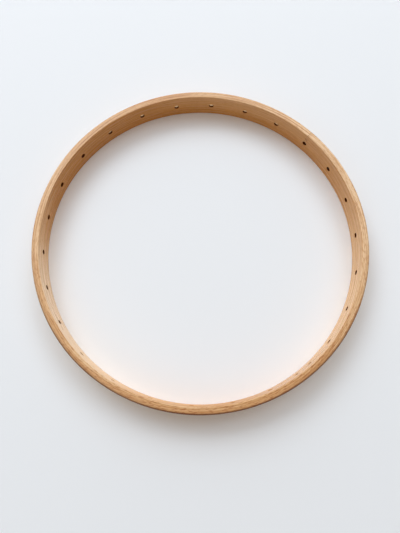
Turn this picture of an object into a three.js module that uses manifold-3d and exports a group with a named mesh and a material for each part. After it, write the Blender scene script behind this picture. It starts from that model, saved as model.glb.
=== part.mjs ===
// A circular weaving loom: one strip of beech bent into a hoop, with a ring of radial holes for the warp.
// The strip's two square ends meet in a butt joint, which glue closes and a pair of hidden dowels pins.
// Millimetres, +Z up. The hoop lies on its back edge with its front edge uppermost, and the origin is the
// middle of the hoop on the surface that it lies on.

import * as THREE from 'three';
import { mergeVertices } from 'three/addons/utils/BufferGeometryUtils.js';
import Module from 'manifold-3d';

const wasm = await Module();
wasm.setup();

// The bent strip
const OUTER_DIAMETER = 300;
const WALL = 6.4;
const DEPTH = 25;
const OUTER_EDGE_ROUND = 1.2;
const INNER_EDGE_ROUND = 0.5;

// The warp holes: stations counted round from the joint, all but one of them with a single hole
const STATIONS = 26;
const HOLE_DIAMETER = 4.5;
const HOLE_BEHIND_MIDDLE = 0.5;
const PAIR_STATION_NUMBER = 19;
const PAIR_SPACING = 15;

// The stations were marked out by hand, so they wander along the inner wall from an even spacing:
// once round the hoop, and again three times round it, each with its lead in degrees
const ONCE_ROUND_DRIFT = 1.95;
const ONCE_ROUND_LEAD = 13;
const THRICE_ROUND_DRIFT = 1.45;
const THRICE_ROUND_LEAD = 21;

// The pinned butt joint
const JOINT_ANGLE = 45;
const GLUE_GAP = 0.3;
const DOWEL_DIAMETER = 3;
const DOWEL_LENGTH = 24;
const DOWEL_CHAMFER = 0.5;
const DOWEL_SPACING = 13;
const DOWEL_CLEARANCE = 0.3;

// How finely round forms are stepped
const HOOP_STEPS = 144;
const EDGE_STEPS = 2;
const HOLE_SIDES = 20;
const DOWEL_SIDES = 20;

// How far a cutting tool runs past the faces that it cuts
const OVERCUT = 2;

const OUTER_RADIUS = OUTER_DIAMETER / 2;
const INNER_RADIUS = OUTER_RADIUS - WALL;
const MIDDLE_RADIUS = OUTER_RADIUS - WALL / 2;
const JOINT_TURN = THREE.MathUtils.degToRad(JOINT_ANGLE);

// A straight dowel leaves the curve of the wall towards its ends, so its middle sits in by half of that rise
const DOWEL_RADIUS_FROM_AXIS = MIDDLE_RADIUS - (DOWEL_LENGTH / 2) ** 2 / (4 * MIDDLE_RADIUS);

function toSolid(geometry) {
  const bare = geometry.clone();
  bare.deleteAttribute('normal');
  bare.deleteAttribute('uv');
  const merged = mergeVertices(bare);
  const vertProperties = new Float32Array(merged.attributes.position.array);
  const triVerts = new Uint32Array(merged.index.array);
  return new wasm.Manifold(new wasm.Mesh({ numProp: 3, vertProperties, triVerts }));
}

function toGeometry(solid) {
  const mesh = solid.getMesh();
  const geometry = new THREE.BufferGeometry();
  geometry.setAttribute('position', new THREE.BufferAttribute(mesh.vertProperties, 3));
  geometry.setIndex(new THREE.BufferAttribute(mesh.triVerts, 1));
  geometry.computeVertexNormals();
  return geometry;
}

// The strip's section as points of (radius, height): its outer edges are sanded round, its inner ones only eased
function stripSection() {
  const inside = INNER_RADIUS + INNER_EDGE_ROUND;
  const outside = OUTER_RADIUS - OUTER_EDGE_ROUND;
  const section = new THREE.Path();
  section.absarc(outside, OUTER_EDGE_ROUND, OUTER_EDGE_ROUND, -Math.PI / 2, 0);
  section.absarc(outside, DEPTH - OUTER_EDGE_ROUND, OUTER_EDGE_ROUND, 0, Math.PI / 2);
  section.absarc(inside, DEPTH - INNER_EDGE_ROUND, INNER_EDGE_ROUND, Math.PI / 2, Math.PI);
  section.absarc(inside, INNER_EDGE_ROUND, INNER_EDGE_ROUND, Math.PI, Math.PI * 1.5);
  section.closePath();
  return section.getPoints(EDGE_STEPS);
}

function closedHoop() {
  const hoop = new THREE.LatheGeometry(stripSection(), HOOP_STEPS);
  hoop.rotateX(Math.PI / 2);
  return toSolid(hoop);
}

// The angle of a station, in degrees from +X, with the wander measured from the station on the joint
function drift(angle) {
  const once = Math.cos(THREE.MathUtils.degToRad(angle - ONCE_ROUND_LEAD));
  const thrice = Math.sin(THREE.MathUtils.degToRad(3 * angle - THRICE_ROUND_LEAD));
  const along = THRICE_ROUND_DRIFT * thrice - ONCE_ROUND_DRIFT * once;
  return THREE.MathUtils.radToDeg(along / INNER_RADIUS);
}

function stationAngle(station) {
  const even = JOINT_ANGLE + (station * 360) / STATIONS;
  return even + drift(even) - drift(JOINT_ANGLE);
}

function holeAngles() {
  const halfPair = THREE.MathUtils.radToDeg(PAIR_SPACING / 2 / INNER_RADIUS);
  const angles = [];
  for (let station = 0; station < STATIONS; station += 1) {
    const angle = stationAngle(station);
    if (station === PAIR_STATION_NUMBER) {
      angles.push(angle - halfPair, angle + halfPair);
    } else {
      angles.push(angle);
    }
  }
  return angles;
}

function warpHole(angle) {
  const drill = new THREE.CylinderGeometry(
    HOLE_DIAMETER / 2, HOLE_DIAMETER / 2, WALL + 2 * OVERCUT, HOLE_SIDES);
  drill.rotateZ(Math.PI / 2);
  drill.translate(MIDDLE_RADIUS, 0, DEPTH / 2 - HOLE_BEHIND_MIDDLE);
  drill.rotateZ(THREE.MathUtils.degToRad(angle));
  return toSolid(drill);
}

// The saw cut between the strip's two ends, which the glue fills
function jointGap() {
  const saw = new THREE.BoxGeometry(WALL + 2 * OVERCUT, GLUE_GAP, DEPTH + 2 * OVERCUT);
  saw.translate(MIDDLE_RADIUS, 0, DEPTH / 2);
  saw.rotateZ(JOINT_TURN);
  return toSolid(saw);
}

const DOWELS = [
  { name: 'joint_dowel_front', height: DEPTH / 2 + DOWEL_SPACING / 2 },
  { name: 'joint_dowel_back', height: DEPTH / 2 - DOWEL_SPACING / 2 },
];

// The bore for one dowel runs along the hoop, half of it in each end of the strip
function dowelBore(height) {
  const radius = DOWEL_DIAMETER / 2 + DOWEL_CLEARANCE;
  const bit = new THREE.CylinderGeometry(radius, radius, DOWEL_LENGTH + 2 * DOWEL_CLEARANCE, DOWEL_SIDES);
  bit.translate(DOWEL_RADIUS_FROM_AXIS, 0, height);
  bit.rotateZ(JOINT_TURN);
  return toSolid(bit);
}

function hoopStrip() {
  let strip = closedHoop();
  for (const angle of holeAngles()) {
    strip = strip.subtract(warpHole(angle));
  }
  for (const dowel of DOWELS) {
    strip = strip.subtract(dowelBore(dowel.height));
  }
  return toGeometry(strip.subtract(jointGap()));
}

// A straight round pin with its ends chamfered so that it starts easily in its bore
function dowelPin() {
  const radius = DOWEL_DIAMETER / 2;
  const end = DOWEL_LENGTH / 2;
  const profile = [
    new THREE.Vector2(0, -end),
    new THREE.Vector2(radius - DOWEL_CHAMFER, -end),
    new THREE.Vector2(radius, DOWEL_CHAMFER - end),
    new THREE.Vector2(radius, end - DOWEL_CHAMFER),
    new THREE.Vector2(radius - DOWEL_CHAMFER, end),
    new THREE.Vector2(0, end),
  ];
  return new THREE.LatheGeometry(profile, DOWEL_SIDES);
}

const oiledBeech = new THREE.MeshStandardMaterial({ color: 0xcf9f6d, roughness: 0.5, metalness: 0 });
const bareBeech = new THREE.MeshStandardMaterial({ color: 0xdcbd95, roughness: 0.75, metalness: 0 });

const loom = new THREE.Group();

const hoop = new THREE.Mesh(hoopStrip(), oiledBeech);
hoop.name = 'hoop_strip';
loom.add(hoop);

const joint = new THREE.Group();
joint.rotation.z = JOINT_TURN;
for (const { name, height } of DOWELS) {
  const dowel = new THREE.Mesh(dowelPin(), bareBeech);
  dowel.name = name;
  dowel.position.set(DOWEL_RADIUS_FROM_AXIS, 0, height);
  joint.add(dowel);
}
loom.add(joint);

export default loom;
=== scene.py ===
# %% [markdown]
# # A circular weaving loom of bent beech
#
# The loom is one strip of beech, bent into a hoop and closed by a glued and pinned butt joint. A ring of
# small holes goes through its wall, and the warp is laced through them. This script builds the loom's looks
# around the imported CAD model, which fixes every size and place: the hoop lies on its back edge, with its
# front edge uppermost and +Z along its axis. Everything is in metres.

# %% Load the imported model
import math

import bmesh
import bpy
from mathutils import Matrix, Vector


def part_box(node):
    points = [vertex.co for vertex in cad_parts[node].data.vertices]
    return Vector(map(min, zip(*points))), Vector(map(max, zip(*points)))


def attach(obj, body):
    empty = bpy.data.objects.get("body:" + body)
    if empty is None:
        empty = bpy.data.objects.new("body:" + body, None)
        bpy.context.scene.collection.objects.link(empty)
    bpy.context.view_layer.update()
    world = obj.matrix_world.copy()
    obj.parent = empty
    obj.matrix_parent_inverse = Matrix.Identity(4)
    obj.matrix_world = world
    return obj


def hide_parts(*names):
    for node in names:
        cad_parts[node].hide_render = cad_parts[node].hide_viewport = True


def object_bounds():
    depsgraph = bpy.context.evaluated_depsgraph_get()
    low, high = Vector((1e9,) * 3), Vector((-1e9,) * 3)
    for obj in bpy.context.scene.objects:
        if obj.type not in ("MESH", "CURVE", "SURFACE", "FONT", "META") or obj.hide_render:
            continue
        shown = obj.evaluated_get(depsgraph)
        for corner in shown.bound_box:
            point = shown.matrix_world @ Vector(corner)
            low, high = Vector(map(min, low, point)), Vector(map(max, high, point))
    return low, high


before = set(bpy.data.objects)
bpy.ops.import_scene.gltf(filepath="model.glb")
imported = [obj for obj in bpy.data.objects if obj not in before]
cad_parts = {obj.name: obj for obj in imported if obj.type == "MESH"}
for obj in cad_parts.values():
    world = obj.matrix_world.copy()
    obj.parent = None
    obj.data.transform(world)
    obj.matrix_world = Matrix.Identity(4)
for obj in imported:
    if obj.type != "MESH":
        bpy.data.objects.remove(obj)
cad_low, cad_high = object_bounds()
print("CAD nodes:", ", ".join(sorted(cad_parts)))

# %% [markdown]
# ## What the CAD model says
#
# The box of the CAD model gives the hoop's outer radius and its depth. The two hidden dowels lie across the
# joint, so the middle of one of them also tells where on the hoop the joint is. Two directions are kept for
# later: straight out through the joint, and along the hoop across it.

# %% Measure the hoop and its joint
WALL = 0.0064

outer_radius = cad_high.x
inner_radius = outer_radius - WALL
middle_radius = outer_radius - WALL / 2
depth = cad_high.z


def middle_of(node):
    low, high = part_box(node)
    return (low + high) / 2


dowel_middles = [middle_of("joint_dowel_front"), middle_of("joint_dowel_back")]
joint_turn = math.atan2(dowel_middles[0].y, dowel_middles[0].x)
out_at_joint = Matrix.Rotation(joint_turn, 3, "Z") @ Vector((1, 0, 0))
along_at_joint = Matrix.Rotation(joint_turn, 3, "Z") @ Vector((0, 1, 0))
print(f"Joint at {math.degrees(joint_turn):.1f} degrees from +X")

# %% [markdown]
# ## Where the warp holes go
#
# The holes are counted round from the joint, which has one of them on it. They were marked out by hand, so
# they wander a little from an even spacing, and at one station there is a pair of holes instead of a single
# one. The wander is two slow waves round the hoop, the same as in the CAD model, so the holes of the two
# models agree.

# %% Lay out the warp holes
STATIONS = 26
PAIR_STATION_NUMBER = 19
PAIR_SPACING = 0.015
ONCE_ROUND_DRIFT = 0.00195
ONCE_ROUND_LEAD = math.radians(13)
THRICE_ROUND_DRIFT = 0.00145
THRICE_ROUND_LEAD = math.radians(21)
HOLE_BEHIND_MIDDLE = 0.0005

hole_height = depth / 2 - HOLE_BEHIND_MIDDLE
half_pair = PAIR_SPACING / 2 / inner_radius


def drift(turn):
    """How far round a hole at this turn strays from an even spacing."""
    once = math.cos(turn - ONCE_ROUND_LEAD)
    thrice = math.sin(3 * turn - THRICE_ROUND_LEAD)
    return (THRICE_ROUND_DRIFT * thrice - ONCE_ROUND_DRIFT * once) / inner_radius


hole_turns = []
for station in range(STATIONS):
    even = joint_turn + station * math.tau / STATIONS
    turn = even + drift(even) - drift(joint_turn)
    if station == PAIR_STATION_NUMBER:
        hole_turns += [turn - half_pair, turn + half_pair]
    else:
        hole_turns.append(turn)

# %% [markdown]
# ## The section of the strip
#
# The strip is a plain rectangle in section, with its outer edges sanded round and its inner ones only eased.
# A single face is made and its corner vertices are bevelled, which rounds them exactly. Only the outline is
# kept. Its long sides are then cut into short rows: the holes need small faces in the walls to be cut from,
# and rows this narrow also keep the flats looking flat beside the rounded edges.

# %% Draw the section
OUTER_EDGE_ROUND = 0.0012
INNER_EDGE_ROUND = 0.0005
EDGE_SEGMENTS = 8
WALL_ROWS = 16
EDGE_ROWS = 6


def draw_section(mesh, inset):
    """Adds the outline of the strip, as edges in the XZ plane, and the inset takes it in all round."""
    place = Matrix.Translation((middle_radius, 0, depth / 2)) @ Matrix.Rotation(math.pi / 2, 4, "X")
    size = Matrix.Diagonal((WALL / 2 - inset, depth / 2 - inset, 1, 1))
    bmesh.ops.create_grid(mesh, x_segments=1, y_segments=1, size=1, matrix=place @ size)
    outer = [vert for vert in mesh.verts if vert.co.x > middle_radius]
    inner = [vert for vert in mesh.verts if vert.co.x < middle_radius]
    for corners, edge_round in ((outer, OUTER_EDGE_ROUND), (inner, INNER_EDGE_ROUND)):
        bmesh.ops.bevel(
            mesh, geom=corners, offset=edge_round - inset, offset_type="OFFSET",
            segments=EDGE_SEGMENTS, profile=0.5, affect="VERTICES", material=-1)
    bmesh.ops.delete(mesh, geom=mesh.faces[:], context="FACES_ONLY")


def edges_longer_than(mesh, length):
    return [edge for edge in mesh.edges if edge.calc_length() > length]


hoop = bmesh.new()
draw_section(hoop, inset=0)
bmesh.ops.subdivide_edges(hoop, edges=edges_longer_than(hoop, depth / 2), cuts=WALL_ROWS - 1)
bmesh.ops.subdivide_edges(hoop, edges=edges_longer_than(hoop, WALL / 2), cuts=EDGE_ROWS - 1)
print(f"Section of {len(hoop.edges)} edges")

# %% [markdown]
# ## Spinning the hoop
#
# A spin of the outline round +Z makes the hoop. It is done in sectors, one centred on each hole and one in
# each stretch between, so that every hole gets a square patch of small faces to be cut from. The last
# sector ends where the first began, and merging the doubles there closes the ring.

# %% Spin the hoop
PATCH_STEPS = 8
PATCH_HALF_WIDTH = 0.0055
BETWEEN_STEPS = 6
MERGE_DISTANCE = 1e-6

patch_half_turn = PATCH_HALF_WIDTH / inner_radius
first_turn = hole_turns[0] - patch_half_turn
bmesh.ops.rotate(hoop, verts=hoop.verts, cent=(0, 0, 0), matrix=Matrix.Rotation(first_turn, 3, "Z"))


def spin_on(outline, sweep, steps):
    """Spins the outline on round the axis, and returns its edges where they end up."""
    spun = bmesh.ops.spin(
        hoop, geom=outline, cent=(0, 0, 0), axis=(0, 0, 1), dvec=(0, 0, 0), angle=sweep, steps=steps,
        use_merge=False, use_normal_flip=False, use_duplicate=False)
    return [item for item in spun["geom_last"] if isinstance(item, bmesh.types.BMEdge)]


outline = hoop.edges[:]
for turn, next_turn in zip(hole_turns, hole_turns[1:] + [hole_turns[0] + math.tau]):
    outline = spin_on(outline, 2 * patch_half_turn, PATCH_STEPS)
    outline = spin_on(outline, next_turn - turn - 2 * patch_half_turn, BETWEEN_STEPS)
bmesh.ops.remove_doubles(hoop, verts=hoop.verts, dist=MERGE_DISTANCE)
print(f"Closed hoop of {len(hoop.faces)} faces")

# %% [markdown]
# ## The warp holes
#
# Each hole is drilled straight out through the wall. On both walls a square patch of faces is taken out,
# and its rim is extruded inwards twice: to a ring just outside the hole, which keeps the wall's shading
# smooth, and on to the mouth of the hole. A bridge between the two mouths makes the bore. All the mouths are
# eased a little with one bevel at the end, as sandpaper leaves them.

# %% Pick the patches of wall
row_height = (depth - 2 * INNER_EDGE_ROUND) / WALL_ROWS
patch_half_height = PATCH_STEPS / 2 * row_height


def turn_from(turn, point):
    """How far round from a turn the point lies, from minus half a turn to half a turn."""
    return (math.atan2(point.y, point.x) - turn + math.pi) % math.tau - math.pi


patches = {(turn, wall): [] for turn in hole_turns for wall in (inner_radius, outer_radius)}
for face in hoop.faces:
    middle = face.calc_center_median()
    if abs(middle.z - depth / 2) > patch_half_height:
        continue
    wall = min((inner_radius, outer_radius), key=lambda radius: abs(radius - middle.xy.length))
    turn = min(hole_turns, key=lambda hole: abs(turn_from(hole, middle)))
    if abs(turn_from(turn, middle)) < patch_half_turn:
        patches[turn, wall].append(face)
print(f"{len(patches)} patches, of {len(patches[hole_turns[0], inner_radius])} faces each")

# %% Drill the warp holes
HOLE_RADIUS = 0.00225
MOUTH_EASE = 0.0003
MOUTH_SEGMENTS = 3
MOUTH_MARGIN = 0.0008


def draw_in(rim, turn, wall_radius, radius):
    """Extrudes a rim of edges along a wall to a circle round a hole, and returns the circle's edges."""
    drawn = bmesh.ops.extrude_edge_only(hoop, edges=rim)["geom"]
    for vert in drawn:
        if isinstance(vert, bmesh.types.BMVert):
            beside = turn_from(turn, vert.co) * wall_radius
            above = vert.co.z - hole_height
            shrink = radius / math.hypot(beside, above)
            from_axis = Vector((wall_radius, 0, hole_height + above * shrink))
            vert.co = Matrix.Rotation(turn + beside * shrink / wall_radius, 3, "Z") @ from_axis
    return [edge for edge in drawn if isinstance(edge, bmesh.types.BMEdge) and edge.is_boundary]


mouths = []
for turn in hole_turns:
    bore = []
    for wall in (inner_radius, outer_radius):
        patch = patches[turn, wall]
        around = dict.fromkeys(edge for face in patch for edge in face.edges)
        rim = [edge for edge in around if sum(face in patch for face in edge.link_faces) == 1]
        bmesh.ops.delete(hoop, geom=patch, context="FACES")
        margin = draw_in(rim, turn, wall, HOLE_RADIUS + MOUTH_MARGIN)
        bore += draw_in(margin, turn, wall, HOLE_RADIUS)
    bmesh.ops.bridge_loops(hoop, edges=bore)
    mouths += bore
bmesh.ops.recalc_face_normals(hoop, faces=hoop.faces)
bmesh.ops.bevel(
    hoop, geom=mouths, offset=MOUTH_EASE, offset_type="OFFSET", segments=MOUTH_SEGMENTS, profile=0.5,
    affect="EDGES", material=-1)
print(f"{len(hole_turns)} holes drilled, and {len(mouths)} mouth edges eased")

# %% [markdown]
# ## The joint
#
# The strip's two square ends meet at the joint, with a film of glue between them. Two cuts by a plane, a
# film's thickness apart, open the hoop there, and the sliver between them is deleted. The hole on the joint
# parts each cut end in two, and each half gets the bore of one dowel: a circle is drawn in it, the face is
# filled between the two outlines, and the circle is extruded into the strip.

# %% Saw the joint open
GLUE_FILM = 0.0003
CUT_TOLERANCE = 1e-7


def at_joint(face, reach):
    """Whether the face lies within this reach of the joint, along the hoop."""
    middle = face.calc_center_median()
    return middle.dot(out_at_joint) > 0 and abs(middle.dot(along_at_joint)) < reach


for side in (-1, 1):
    cut = [face for face in hoop.faces if at_joint(face, PATCH_HALF_WIDTH)]
    cut_edges = list(dict.fromkeys(edge for face in cut for edge in face.edges))
    cut_verts = list(dict.fromkeys(vert for face in cut for vert in face.verts))
    bmesh.ops.bisect_plane(
        hoop, geom=cut + cut_edges + cut_verts, dist=CUT_TOLERANCE,
        plane_co=along_at_joint * side * GLUE_FILM / 2, plane_no=along_at_joint)
sliver = [face for face in hoop.faces if at_joint(face, GLUE_FILM / 2)]
bmesh.ops.delete(hoop, geom=sliver, context="FACES")
open_edges = [edge for edge in hoop.edges if edge.is_boundary]
print(f"Sliver of {len(sliver)} faces removed, {len(open_edges)} edges open")

# %% Close the two ends round the dowel bores
BORE_CLEARANCE = 0.0003
BORE_SIDES = 32

dowel_low, dowel_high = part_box("joint_dowel_front")
bore_radius = (dowel_high.z - dowel_low.z) / 2 + BORE_CLEARANCE
dowel_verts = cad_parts["joint_dowel_front"].data.vertices
dowel_reach = max(vert.co.dot(along_at_joint) for vert in dowel_verts)
bore_depth = dowel_reach + BORE_CLEARANCE - GLUE_FILM / 2
facing_along = along_at_joint.to_track_quat("Z", "X").to_matrix().to_4x4()
for side in (-1, 1):
    for dowel in dowel_middles:
        end = [
            edge for edge in open_edges
            if side * edge.verts[0].co.dot(along_at_joint) > 0
            and (edge.verts[0].co.z - hole_height) * (dowel.z - hole_height) > 0]
        place = Matrix.Translation(dowel + along_at_joint * side * GLUE_FILM / 2) @ facing_along
        circle = bmesh.ops.create_circle(
            hoop, cap_ends=False, segments=BORE_SIDES, radius=bore_radius, matrix=place)["verts"]
        mouth = list(dict.fromkeys(edge for vert in circle for edge in vert.link_edges))
        bmesh.ops.triangle_fill(hoop, use_beauty=True, use_dissolve=False, edges=end + mouth)
        bored = bmesh.ops.extrude_edge_only(hoop, edges=mouth)["geom"]
        bottom = [item for item in bored if isinstance(item, bmesh.types.BMVert)]
        bottom_edges = [item for item in bored if isinstance(item, bmesh.types.BMEdge) and item.is_boundary]
        bmesh.ops.translate(hoop, verts=bottom, vec=along_at_joint * side * bore_depth)
        bmesh.ops.contextual_create(hoop, geom=bottom_edges)

# %% [markdown]
# ## Coordinates along the strip
#
# The grain of a bent strip follows the bend. The wood's pattern therefore can't be laid out in X, Y and Z:
# it needs the place in the strip as it was before bending. Each vertex keeps that place in an attribute: how
# far along from the joint, how far out from the inner wall, and how high. The material reads it further down.

# %% Finish the hoop as a piece
SHARP_ANGLE = math.radians(20)


def make_piece(mesh, name):
    """Turns a bmesh into an object at the origin, smooth but for its sharp edges."""
    for face in mesh.faces:
        face.smooth = True
    for edge in mesh.edges:
        edge.smooth = edge.calc_face_angle(0) < SHARP_ANGLE
    data = bpy.data.meshes.new(name)
    mesh.to_mesh(data)
    mesh.free()
    piece = bpy.data.objects.new(name, data)
    bpy.context.scene.collection.objects.link(piece)
    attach(piece, "root")
    return piece


bmesh.ops.recalc_face_normals(hoop, faces=hoop.faces)
strip_place = hoop.verts.layers.float_vector.new("strip_place")
for vert in hoop.verts:
    along = (math.atan2(vert.co.y, vert.co.x) - joint_turn) % math.tau * middle_radius
    vert[strip_place] = (along, vert.co.xy.length - inner_radius, vert.co.z)
bent_strip = make_piece(hoop, "bent_strip")
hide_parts("hoop_strip")
print(f"bent_strip has {len(bent_strip.data.polygons)} faces")

# %% [markdown]
# ## The glue in the joint
#
# The glue shows as a thin line where the ends meet. It is the strip's own section, taken in a little because
# glue shrinks as it sets, cut in two by the hole and extruded to the thickness of the film.

# %% Fill the joint with glue
GLUE_SHRINK = 0.00005

glue = bmesh.new()
draw_section(glue, inset=GLUE_SHRINK)
bmesh.ops.contextual_create(glue, geom=glue.edges[:])
for side in (-1, 1):
    bmesh.ops.bisect_plane(
        glue, geom=glue.verts[:] + glue.edges[:] + glue.faces[:], dist=CUT_TOLERANCE,
        plane_co=(0, 0, hole_height + side * (HOLE_RADIUS + MOUTH_EASE)), plane_no=(0, 0, 1))
in_hole = [face for face in glue.faces if abs(face.calc_center_median().z - hole_height) < HOLE_RADIUS]
bmesh.ops.delete(glue, geom=in_hole, context="FACES")
bmesh.ops.translate(glue, verts=glue.verts, vec=(0, -GLUE_FILM / 2, 0))
thickened = bmesh.ops.extrude_face_region(glue, geom=glue.faces[:])["geom"]
other_face = [item for item in thickened if isinstance(item, bmesh.types.BMVert)]
bmesh.ops.translate(glue, verts=other_face, vec=(0, GLUE_FILM, 0))
bmesh.ops.rotate(glue, verts=glue.verts, cent=(0, 0, 0), matrix=Matrix.Rotation(joint_turn, 3, "Z"))
bmesh.ops.recalc_face_normals(glue, faces=glue.faces)
joint_glue = make_piece(glue, "joint_glue")
print(f"joint_glue has {len(joint_glue.data.polygons)} faces")

# %% [markdown]
# ## Beech
#
# Beech is a pale pinkish brown wood with a fine even grain, and this hoop has a thin coat of oil. A picture
# of wood wrapped round the hoop would stretch at the edges and repeat. So the wood is made of noise, as one
# solid pattern in the strip's own coordinates, which runs on from the edges to the walls as in real wood. A
# few helpers add the nodes, because a material of many steps is easier to read as a list of them.

# %% Helpers that add nodes
def add_node(tree, kind, sockets=None, **settings):
    """Adds a node. A socket is given a value, or another node's output to link to."""
    made = tree.nodes.new(kind)
    for name, value in settings.items():
        setattr(made, name, value)
    for name, value in (sockets or {}).items():
        if isinstance(value, bpy.types.NodeSocket):
            tree.links.new(value, made.inputs[name])
        else:
            made.inputs[name].default_value = value
    return made


def new_material(name):
    """A new material, with its node tree and its Principled shader."""
    material = bpy.data.materials.new(name)
    material.use_nodes = True
    return material, material.node_tree, material.node_tree.nodes["Principled BSDF"]


def blend(tree, factor, first, second, how="MIX"):
    """Mixes two colours."""
    sockets = {0: factor, 6: first, 7: second}
    mixed = add_node(tree, "ShaderNodeMix", sockets, data_type="RGBA", blend_type=how)
    return mixed.outputs[2]


print("Helpers for nodes, materials and colours ready")

# %% Helpers that work out values
def calculate(tree, operation, *values):
    """The result of one Math node."""
    done = add_node(tree, "ShaderNodeMath", dict(enumerate(values)), operation=operation)
    return done.outputs[0]


def multiply_add(tree, value, by, plus):
    return calculate(tree, "MULTIPLY_ADD", value, by, plus)


def apart(tree, value, level):
    """How far the value is from a level, on either side of it."""
    return calculate(tree, "ABSOLUTE", multiply_add(tree, value, 1, -level))


def length_of(tree, vector):
    return add_node(tree, "ShaderNodeVectorMath", {0: vector}, operation="LENGTH").outputs["Value"]


def ramp_between(tree, value, start, end, low=0.0, high=1.0):
    """Goes smoothly from low to high as the value goes from start to end."""
    mapped = add_node(
        tree, "ShaderNodeMapRange", {0: value, 1: start, 2: end, 3: low, 4: high},
        interpolation_type="SMOOTHSTEP")
    return mapped.outputs[0]


def stretched_noise(tree, place, lengths, detail):
    """Noise whose blotches have these lengths, in metres, along the three directions of the place."""
    per_metre = [1 / length for length in lengths]
    scaled = add_node(tree, "ShaderNodeVectorMath", {0: place, 1: per_metre}, operation="MULTIPLY")
    sockets = {"Vector": scaled.outputs[0], "Scale": 1, "Detail": detail}
    return add_node(tree, "ShaderNodeTexNoise", sockets).outputs["Fac"]


print("Helpers for values, ramps and noise ready")

# %% [markdown]
# ### The ground tone
#
# The ground of the wood lies between a warm tone and a pale one. The edges have their own two tones, because
# they are cut across other grain than the walls, and the outer wall comes near to these. Long bands of growth
# run along the strip, and they show more on the edges. Cosine waves with one, two or three crests round the
# hoop shift the tone. The walls on the far side are darker, most towards the back edge, as painted shade, and
# those on the near side paler, as painted light. A wave with two crests makes the wood paler in two places
# and darker between, partly as a drift in tone and partly as painted sheen. The walls at the near left are
# palest, as painted sheen. The edges are a little paler on the right, and a wave with three crests shifts the
# tone of the walls.

# %% Find the place in the strip
GRAIN_SLANT = 0.008

oiled_beech, tree, shader = new_material("oiled_beech")
place = add_node(tree, "ShaderNodeAttribute", attribute_name="strip_place").outputs["Vector"]
along, across, up = add_node(tree, "ShaderNodeSeparateXYZ", {0: place}).outputs
slanted = multiply_add(tree, along, GRAIN_SLANT, across)
grain_place = add_node(tree, "ShaderNodeCombineXYZ", {0: along, 1: slanted, 2: up}).outputs[0]
from_middle = apart(tree, up, depth / 2)
on_edge = ramp_between(tree, from_middle, depth / 2 - INNER_EDGE_ROUND, depth / 2)


def wall_or_edge(wall, edge):
    """One value on the walls and another on the front and back edges."""
    return ramp_between(tree, on_edge, 0, 1, wall, edge)


def wave_round(crests, first_crest):
    """A wave with so many crests round the hoop, the first of them so many degrees from +X."""
    lead = crests * (joint_turn - math.radians(first_crest))
    turn = multiply_add(tree, along, crests / middle_radius, lead)
    return calculate(tree, "COSINE", turn)


# A wave with one crest is 1 at the crest and -1 across the hoop from it.
far_side = wave_round(crests=1, first_crest=90)
right_side = wave_round(crests=1, first_crest=15)
near_left = wave_round(crests=1, first_crest=213)
held_side = wave_round(crests=1, first_crest=255)
two_sides = wave_round(crests=2, first_crest=25)
three_sides = wave_round(crests=3, first_crest=30)
print("Place in the strip and six waves round the hoop")

# %% Work out how pale the wood is
NOISE_MIDDLE = 0.5
BAND_LENGTHS = (0.25, 0.0018, 0.004)
BANDS_ON_WALL = 1.0
BANDS_ON_EDGE = 3.6
MEAN_PALENESS = 0.45
TWO_SIDED_TONE_AND_SHEEN = 0.4
BACK_OF_WALL_LIGHT_AND_SHADE = -0.6
FRONT_OF_WALL_LIGHT_AND_SHADE = -0.2
THREE_SIDED_WALL_DRIFT = -0.4
EDGE_DRIFT = 0.35

bands = stretched_noise(tree, grain_place, BAND_LENGTHS, detail=2)
bands = multiply_add(tree, bands, 1, -NOISE_MIDDLE)
paleness = multiply_add(tree, bands, wall_or_edge(BANDS_ON_WALL, BANDS_ON_EDGE), MEAN_PALENESS)
# Partly a drift in tone and partly painted sheen: paler wood at two crests round the hoop, darker between.
paleness = multiply_add(tree, two_sides, TWO_SIDED_TONE_AND_SHEEN, paleness)
# Painted shade and light: the far walls are darker, most towards the back edge, and the near walls paler.
painted_wall_light_and_shade = ramp_between(tree, up, 0, depth, BACK_OF_WALL_LIGHT_AND_SHADE, FRONT_OF_WALL_LIGHT_AND_SHADE)
paleness = multiply_add(tree, far_side, wall_or_edge(painted_wall_light_and_shade, 0), paleness)
paleness = multiply_add(tree, three_sides, wall_or_edge(THREE_SIDED_WALL_DRIFT, 0), paleness)
paleness = multiply_add(tree, right_side, wall_or_edge(0, EDGE_DRIFT), paleness)
print(f"Paleness of {len(tree.nodes)} nodes")

# %% Mix the ground tone
PALE_EDGE = (0.825, 0.552, 0.315, 1)
WARM_EDGE = (0.67, 0.365, 0.152, 1)
PALE_WALL = (0.84, 0.51, 0.245, 1)
WARM_WALL = (0.58, 0.25, 0.05, 1)
OUTSIDE_FROM = WALL - 0.0003
OUTSIDE_TONE = 0.75
SHEEN_WALL = (0.93, 0.65, 0.4, 1)
SHEEN_START = math.cos(math.radians(36))
SHEEN_END = math.cos(math.radians(8))

edge_tone = ramp_between(tree, across, OUTSIDE_FROM, WALL, on_edge, OUTSIDE_TONE)
warm_beech = blend(tree, edge_tone, WARM_WALL, WARM_EDGE)
pale_beech = blend(tree, edge_tone, PALE_WALL, PALE_EDGE)
banded = blend(tree, paleness, warm_beech, pale_beech)
# Painted sheen: the walls at the near left are made paler, as a reflection of the light.
painted_sheen = ramp_between(tree, near_left, SHEEN_START, SHEEN_END)
banded = blend(tree, wall_or_edge(painted_sheen, 0), banded, SHEEN_WALL)
print(f"With its ground tone, {len(tree.nodes)} nodes")

# %% [markdown]
# ### Streaks and ray flecks
#
# Two finer patterns darken the ground. Thin streaks follow the grain for a few centimetres. The rays, which
# beech is known by, show as short dashes a few millimetres long that lean a little across the grain. Both
# are the same kind of noise as the bands, only shorter, and they are multiplied in so that the ground still
# shows. They are strong on the edges and only faint on the smooth walls.

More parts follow.
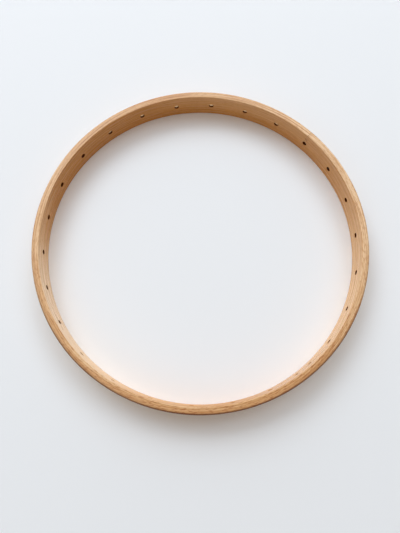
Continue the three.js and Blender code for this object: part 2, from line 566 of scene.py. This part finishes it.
# %% Add the streaks
DARK_STREAK = (0.72, 0.53, 0.32, 1)
STREAK_LENGTHS = (0.045, 0.0008, 0.0013)
STREAK_STARTS = 0.44
STREAK_FULL = 0.66
STREAKS_ON_WALL = 0.1
STREAKS_ON_EDGE = 0.95

streaks = stretched_noise(tree, grain_place, STREAK_LENGTHS, detail=2)
most_streak = wall_or_edge(STREAKS_ON_WALL, STREAKS_ON_EDGE)
streak_strength = ramp_between(tree, streaks, STREAK_STARTS, STREAK_FULL, 0, most_streak)
streaked = blend(tree, streak_strength, banded, DARK_STREAK, "MULTIPLY")
print(f"With streaks, {len(tree.nodes)} nodes")

# %% Add the ray flecks
RAY_FLECK = (0.66, 0.44, 0.24, 1)
FLECK_LENGTHS = (0.0042, 0.0008, 0.0012)
FLECK_SLANT = 0.06
FLECK_STARTS = 0.5
FLECK_FULL = 0.66
FLECKS_ON_WALL = 0.18
FLECKS_ON_EDGE = 0.6
MORE_FLECKS_RIGHT = 0.1
FEWER_FLECKS_FAR = -0.25

leaning = multiply_add(tree, along, FLECK_SLANT, across)
fleck_place = add_node(tree, "ShaderNodeCombineXYZ", {0: along, 1: leaning, 2: up}).outputs[0]
flecks = stretched_noise(tree, fleck_place, FLECK_LENGTHS, detail=1)
edge_fleck = multiply_add(tree, right_side, MORE_FLECKS_RIGHT, FLECKS_ON_EDGE)
edge_fleck = multiply_add(tree, far_side, FEWER_FLECKS_FAR, edge_fleck)
most_fleck = wall_or_edge(FLECKS_ON_WALL, edge_fleck)
fleck_strength = ramp_between(tree, flecks, FLECK_STARTS, FLECK_FULL, 0, most_fleck)
flecked = blend(tree, fleck_strength, streaked, RAY_FLECK, "MULTIPLY")
print(f"With ray flecks, {len(tree.nodes)} nodes")

# %% [markdown]
# ### Painted shade, stain and holes
#
# Three places are darker than the wood round them. On the near side the outer part of the edge is darkened,
# most of all along the rounded rim: this is painted shade, where the rounded edge turns away from the light.
# On the inner wall there is a soft stain at the joint, over the front dowel. In the holes, shade and light
# are painted. On the far side the first 2 mm of each bore is painted dark as shade, and the rest is pale,
# partly as bare wood and partly as painted light where light comes in through the outer mouth. Elsewhere
# the bores are painted dark right through as shade, fainter on the near side. Each of these is a mask worked
# out from the place in the strip, so nothing has to be painted by hand.

# %% Paint shade on the near rim
PAINTED_EDGE_SHADE = (0.72, 0.6, 0.45, 1)
EDGE_SHADE_FROM = 0.35 * WALL
EDGE_SHADE_STARTS = 0.2
EDGE_SHADE_FULL = -0.7
PAINTED_RIM_SHADE = (0.32, 0.22, 0.14, 1)
RIM_SHADE_START = WALL - 0.0019
RIM_SHADE_END = WALL - 0.0006
RIM_SHADE_FADE = 0.0025
RIM_SHADE_STARTS = 0.1
RIM_SHADE_FULL = -0.75

# Painted shade: on the near side the outer part of the edge is darkened, where it turns away from the light.
shaded_near_edge = ramp_between(tree, far_side, EDGE_SHADE_STARTS, EDGE_SHADE_FULL, 0, on_edge)
edge_shade = ramp_between(tree, across, EDGE_SHADE_FROM, WALL, 0, shaded_near_edge)
shaded_beech = blend(tree, edge_shade, flecked, PAINTED_EDGE_SHADE, "MULTIPLY")
# Painted shade: the rounded outer rim on the near side is darkened most.
rim_shade_side = ramp_between(tree, far_side, RIM_SHADE_STARTS, RIM_SHADE_FULL)
rim_shade_front = ramp_between(tree, up, depth - RIM_SHADE_FADE, depth - OUTER_EDGE_ROUND, 0, rim_shade_side)
rim_shade = ramp_between(tree, across, RIM_SHADE_START, RIM_SHADE_END, 0, rim_shade_front)
shaded_beech = blend(tree, rim_shade, shaded_beech, PAINTED_RIM_SHADE, "MULTIPLY")
print(f"With wear, {len(tree.nodes)} nodes")

# %% Stain the joint
DOWEL_STAIN = (0.68, 0.54, 0.42, 1)
STAIN_HEIGHT = 0.019
STAIN_REACH = 0.0024
STAIN_CORE = 0.0004

from_joint = calculate(tree, "PINGPONG", along, math.pi * middle_radius)
above_stain = multiply_add(tree, up, 1, -STAIN_HEIGHT)
from_stain = {0: from_joint, 1: across, 2: above_stain}
from_stain = length_of(tree, add_node(tree, "ShaderNodeCombineXYZ", from_stain).outputs[0])
stain = ramp_between(tree, from_stain, STAIN_REACH, STAIN_CORE)
stained = blend(tree, stain, shaded_beech, DOWEL_STAIN, "MULTIPLY")
print(f"With the stain, {len(tree.nodes)} nodes")

# %% Paint shade and light into the holes
SHADED_BORE = (0.12, 0.027, 0.002, 1)
RAW_AND_LIT_BORE = (1.0, 0.8, 0.55, 1)
LIP_START = 0.0001
LIP_END = 0.0004
BORE_SHADE_START = 0.0019
BORE_SHADE_END = 0.0021
LIT_SIDE_START = 0.72
LIT_SIDE_END = 0.8
NEAR_BORE_SHADE = 0.4
NEAR_BORE_SHADE_START = -0.5
NEAR_BORE_SHADE_END = -0.85

from_row = apart(tree, up, hole_height)
at_row = ramp_between(tree, from_row, HOLE_RADIUS + MOUTH_EASE, HOLE_RADIUS)
into_bore = calculate(tree, "PINGPONG", across, WALL / 2)
in_bore = ramp_between(tree, into_bore, LIP_START, LIP_END, 0, at_row)
# Painted light: only on the far side, where light comes in through the outer mouth, is the deep part of a
# bore pale, partly as bare wood.
lit_bore_side = ramp_between(tree, far_side, LIT_SIDE_START, LIT_SIDE_END)
lit_bore = ramp_between(tree, across, BORE_SHADE_START, BORE_SHADE_END, 0, lit_bore_side)
bore_light_and_shade = blend(tree, lit_bore, SHADED_BORE, RAW_AND_LIT_BORE)
# Painted shade: elsewhere the bores are dark as shade, fainter on the near side.
bore_shade = ramp_between(tree, far_side, NEAR_BORE_SHADE_END, NEAR_BORE_SHADE_START, NEAR_BORE_SHADE, 1)
bore_shade = ramp_between(tree, in_bore, 0, 1, 0, bore_shade)
# The bores get their painted shade and light here.
bored = blend(tree, bore_shade, stained, bore_light_and_shade)
print(f"With the holes, {len(tree.nodes)} nodes")

# %% [markdown]
# ### The oiled surface
#
# Oil leaves a soft gloss, a little duller along the dark streaks, which also lie a hair lower than the wood
# between them. Handling has dulled the walls on the near side. Inside the holes there is no oil, so they are
# dull, and the tint of the reflection is black there. Gloss that varies goes into the roughness, and the
# level of the reflection stays one plain number.

# %% Finish the beech
REFLECTION_LEVEL = 0.5
WALL_ROUGHNESS = 0.22
DULL_WALL_ROUGHNESS = 0.42
DULL_START = 0.72
DULL_END = 0.95
EDGE_ROUGHNESS = 0.27
STREAK_ROUGHNESS = 0.1
BORE_ROUGHNESS = 0.95
FULL_REFLECTION = (1, 1, 1, 1)
NO_REFLECTION = (0, 0, 0, 1)
STREAK_RELIEF = 0.0001
RELIEF_STRENGTH = 0.08

tree.links.new(bored, shader.inputs["Base Color"])
shader.inputs["Specular IOR Level"].default_value = REFLECTION_LEVEL
wall_gloss = ramp_between(tree, held_side, DULL_START, DULL_END, WALL_ROUGHNESS, DULL_WALL_ROUGHNESS)
oiled = multiply_add(tree, streaks, STREAK_ROUGHNESS, wall_or_edge(wall_gloss, EDGE_ROUGHNESS))
tree.links.new(ramp_between(tree, in_bore, 0, 1, oiled, BORE_ROUGHNESS), shader.inputs["Roughness"])
reflected = blend(tree, in_bore, FULL_REFLECTION, NO_REFLECTION)
tree.links.new(reflected, shader.inputs["Specular Tint"])
relief = {"Strength": RELIEF_STRENGTH, "Distance": STREAK_RELIEF, "Height": streaks}
tree.links.new(add_node(tree, "ShaderNodeBump", relief, invert=True).outputs[0], shader.inputs["Normal"])
bent_strip.data.materials.append(oiled_beech)
print(f"Beech of {len(tree.nodes)} nodes")

# %% [markdown]
# ## Dowels and glue
#
# The dowels are the CAD model's own solids, because their shape is right already. They are bare beech, less
# warm and duller than the oiled hoop, with the grain along them: a Mapping node turns the pattern to lie
# across the joint. The glue is a little uneven in tone. Along the walls it was wiped and sanded and has the
# colour of the wood, and on the edges, where it took up dirt, it is dark.

# %% Finish the dowels
DARK_FIBRE = (0.5, 0.3, 0.15, 1)
PALE_FIBRE = (0.66, 0.45, 0.27, 1)
FIBRE_LENGTHS = (0.0006, 0.02, 0.0006)
NOISE_LOW = 0.3
NOISE_HIGH = 0.7
SMOOTHEST_FIBRE = 0.65
ROUGHEST_FIBRE = 0.8

bare_beech, tree, shader = new_material("bare_beech")
where = add_node(tree, "ShaderNodeTexCoord").outputs["Object"]
turning = {"Vector": where, "Rotation": (0, 0, -joint_turn)}
turned = add_node(tree, "ShaderNodeMapping", turning).outputs[0]
fibre = stretched_noise(tree, turned, FIBRE_LENGTHS, detail=3)
tree.links.new(blend(tree, fibre, DARK_FIBRE, PALE_FIBRE), shader.inputs["Base Color"])
fibre_gloss = ramp_between(tree, fibre, NOISE_LOW, NOISE_HIGH, SMOOTHEST_FIBRE, ROUGHEST_FIBRE)
tree.links.new(fibre_gloss, shader.inputs["Roughness"])
for name in ("joint_dowel_front", "joint_dowel_back"):
    dowel_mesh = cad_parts[name].data
    dowel_mesh.materials.clear()
    dowel_mesh.materials.append(bare_beech)
print(f"Dowels in bare beech of {len(tree.nodes)} nodes")

# %% Finish the glue
DARK_GLUE = (0.48, 0.22, 0.065, 1)
PALE_GLUE = (0.6, 0.3, 0.1, 1)
DIRTY_GLUE = (0.27, 0.13, 0.045, 1)
CLOUD_LENGTHS = (0.002, 0.002, 0.002)
DIRT_START = depth / 2 - 0.001
DIRT_END = depth / 2 - 0.0003
SMOOTHEST_GLUE = 0.3
ROUGHEST_GLUE = 0.45

set_glue, tree, shader = new_material("set_glue")
where = add_node(tree, "ShaderNodeTexCoord").outputs["Object"]
cloudy = stretched_noise(tree, where, CLOUD_LENGTHS, detail=2)
wiped_glue = blend(tree, cloudy, DARK_GLUE, PALE_GLUE)
height = add_node(tree, "ShaderNodeSeparateXYZ", {0: where}).outputs["Z"]
at_edge = ramp_between(tree, apart(tree, height, depth / 2), DIRT_START, DIRT_END)
tree.links.new(blend(tree, at_edge, wiped_glue, DIRTY_GLUE), shader.inputs["Base Color"])
glue_gloss = ramp_between(tree, cloudy, NOISE_LOW, NOISE_HIGH, SMOOTHEST_GLUE, ROUGHEST_GLUE)
tree.links.new(glue_gloss, shader.inputs["Roughness"])
joint_glue.data.materials.append(set_glue)
print(f"Joint filled with glue of {len(tree.nodes)} nodes")

# %% [markdown]
# ## Floor and backdrop
#
# The loom lies on a plain pale floor. The lamps light only the middle of it well, so from the side it would
# grow dark towards the horizon. A little way off it therefore turns into the pale tone of the backdrop. That
# holds only for what the camera sees, straight or mirrored: light still falls on the floor and is thrown
# back from it, and the loom's shadow lies on it, as on any other.

# %% Lay the floor
FLOOR_HALF_WIDTH = 15.0
FLOOR_COLOUR = (0.898, 0.907, 0.945, 1)
FLOOR_ROUGHNESS = 0.8
BACKDROP_COLOUR = (0.8, 0.81, 0.84, 1)
FADE_START = 0.4
FADE_END = 1.0


def seen_or_mirrored(tree):
    """One for what the camera sees, straight or in gloss or glass, and nothing for light that falls."""
    path = add_node(tree, "ShaderNodeLightPath").outputs
    seen = calculate(tree, "MAXIMUM", path["Is Camera Ray"], path["Is Glossy Ray"])
    return calculate(tree, "MAXIMUM", seen, path["Is Transmission Ray"])


ground = bmesh.new()
bmesh.ops.create_grid(ground, x_segments=1, y_segments=1, size=FLOOR_HALF_WIDTH)
floor_mesh = bpy.data.meshes.new("floor")
ground.to_mesh(floor_mesh)
ground.free()
floor = bpy.data.objects.new("floor", floor_mesh)
bpy.context.scene.collection.objects.link(floor)
print(f"Floor {2 * FLOOR_HALF_WIDTH:.0f} m wide")

# %% Finish the floor
matt_white, tree, shader = new_material("matt_white")
shader.inputs["Base Color"].default_value = FLOOR_COLOUR
shader.inputs["Roughness"].default_value = FLOOR_ROUGHNESS
shader.inputs["Specular IOR Level"].default_value = 0.0
away = length_of(tree, add_node(tree, "ShaderNodeTexCoord").outputs["Object"])
faded = ramp_between(tree, away, FADE_START, FADE_END, 0, seen_or_mirrored(tree))
distance = add_node(tree, "ShaderNodeEmission", {"Color": BACKDROP_COLOUR, "Strength": 1})
both = {0: faded, 1: shader.outputs[0], 2: distance.outputs[0]}
both = add_node(tree, "ShaderNodeMixShader", both).outputs[0]
tree.links.new(both, tree.nodes["Material Output"].inputs["Surface"])
floor_mesh.materials.append(matt_white)
print(f"Floor of {len(tree.nodes)} nodes, plain for {FADE_START} m round the loom")

# %% [markdown]
# ## Light
#
# The main light is a wide soft panel beyond the far side of the hoop, a little to the left, as a window would
# be. Single panels cast hard-ended shadows, so weaker ones beside it, under it and overhead spread the light,
# and one on the near left stands in for the bright wall of a room. All of them are slightly cool. The world
# fills the shadows with a weak warm light, so that the two together are about white. Where the camera itself
# sees the world, beyond the floor, it sees the pale backdrop instead.

# %% Hang the panels
PANEL_DISTANCE = 3.5
PANEL_COLOUR = (0.84, 0.93, 1.0)


def hang_panel(name, left, elevation, width, height, radiance):
    """Hangs a panel that faces the loom, so many degrees left of the far side and up from the floor."""
    aside = Matrix.Rotation(math.radians(left), 3, "Z")
    raised = Matrix.Rotation(math.radians(elevation), 3, "X")
    towards = aside @ raised @ Vector((0, 1, 0))
    panel_data = bpy.data.lights.new(name, "AREA")
    panel_data.shape = "RECTANGLE"
    panel_data.size = width
    panel_data.size_y = height
    panel_data.color = PANEL_COLOUR
    panel_data.energy = math.pi * radiance * width * height
    panel = bpy.data.objects.new(name, panel_data)
    panel.location = towards * PANEL_DISTANCE
    panel.rotation_euler = towards.to_track_quat("Z", "Y").to_euler()
    bpy.context.scene.collection.objects.link(panel)
    print(f"{name}: {panel_data.energy:.0f} W")


hang_panel("window", left=12, elevation=42, width=3.5, height=1.75, radiance=3.45)
hang_panel("low_window", left=5, elevation=16, width=3.5, height=1.2, radiance=1.4)
hang_panel("left_panel", left=45, elevation=48, width=1.75, height=1.75, radiance=2.45)
hang_panel("right_panel", left=-46, elevation=50, width=1.75, height=1.75, radiance=2.2)
hang_panel("overhead", left=20, elevation=80, width=2.6, height=1.75, radiance=0.95)
hang_panel("room_side", left=125, elevation=42, width=2.0, height=2.0, radiance=0.85)

# %% Fill the shadows
FILL_COLOUR = (1.0, 0.83, 0.63, 1)
FILL_STRENGTH = 0.27

world = bpy.data.worlds.new("room_fill")
world.use_nodes = True
tree = world.node_tree
fill = tree.nodes["Background"]
fill.inputs["Color"].default_value = FILL_COLOUR
fill.inputs["Strength"].default_value = FILL_STRENGTH
backdrop = add_node(tree, "ShaderNodeBackground", {"Color": BACKDROP_COLOUR, "Strength": 1})
either = {0: seen_or_mirrored(tree), 1: fill.outputs[0], 2: backdrop.outputs[0]}
either = add_node(tree, "ShaderNodeMixShader", either).outputs[0]
tree.links.new(either, tree.nodes["World Output"].inputs["Surface"])
bpy.context.scene.world = world
bpy.context.scene.view_settings.view_transform = "Standard"
print(f"World fill at a strength of {FILL_STRENGTH}")

# %% [markdown]
# ## Camera
#
# The camera hangs over the near half of the hoop and looks down, tilted towards the far side, so that it sees
# the inner wall there and looks almost along it on the near side.

# %% Place the camera
CAMERA_PLACE = Vector((-0.0002, -0.1136, 0.366))
CAMERA_TILT = 0.2483
CAMERA_ROLL = 0.0066
CAMERA_LENS = 27.19
CAMERA_SENSOR = 36

eye_data = bpy.data.cameras.new("eye")
eye_data.sensor_width = CAMERA_SENSOR
eye_data.lens = CAMERA_LENS
eye = bpy.data.objects.new("eye", eye_data)
tilted = Matrix.Rotation(CAMERA_TILT, 4, "X") @ Matrix.Rotation(CAMERA_ROLL, 4, "Z")
eye.matrix_world = Matrix.Translation(CAMERA_PLACE) @ tilted
bpy.context.scene.collection.objects.link(eye)
bpy.context.scene.camera = eye
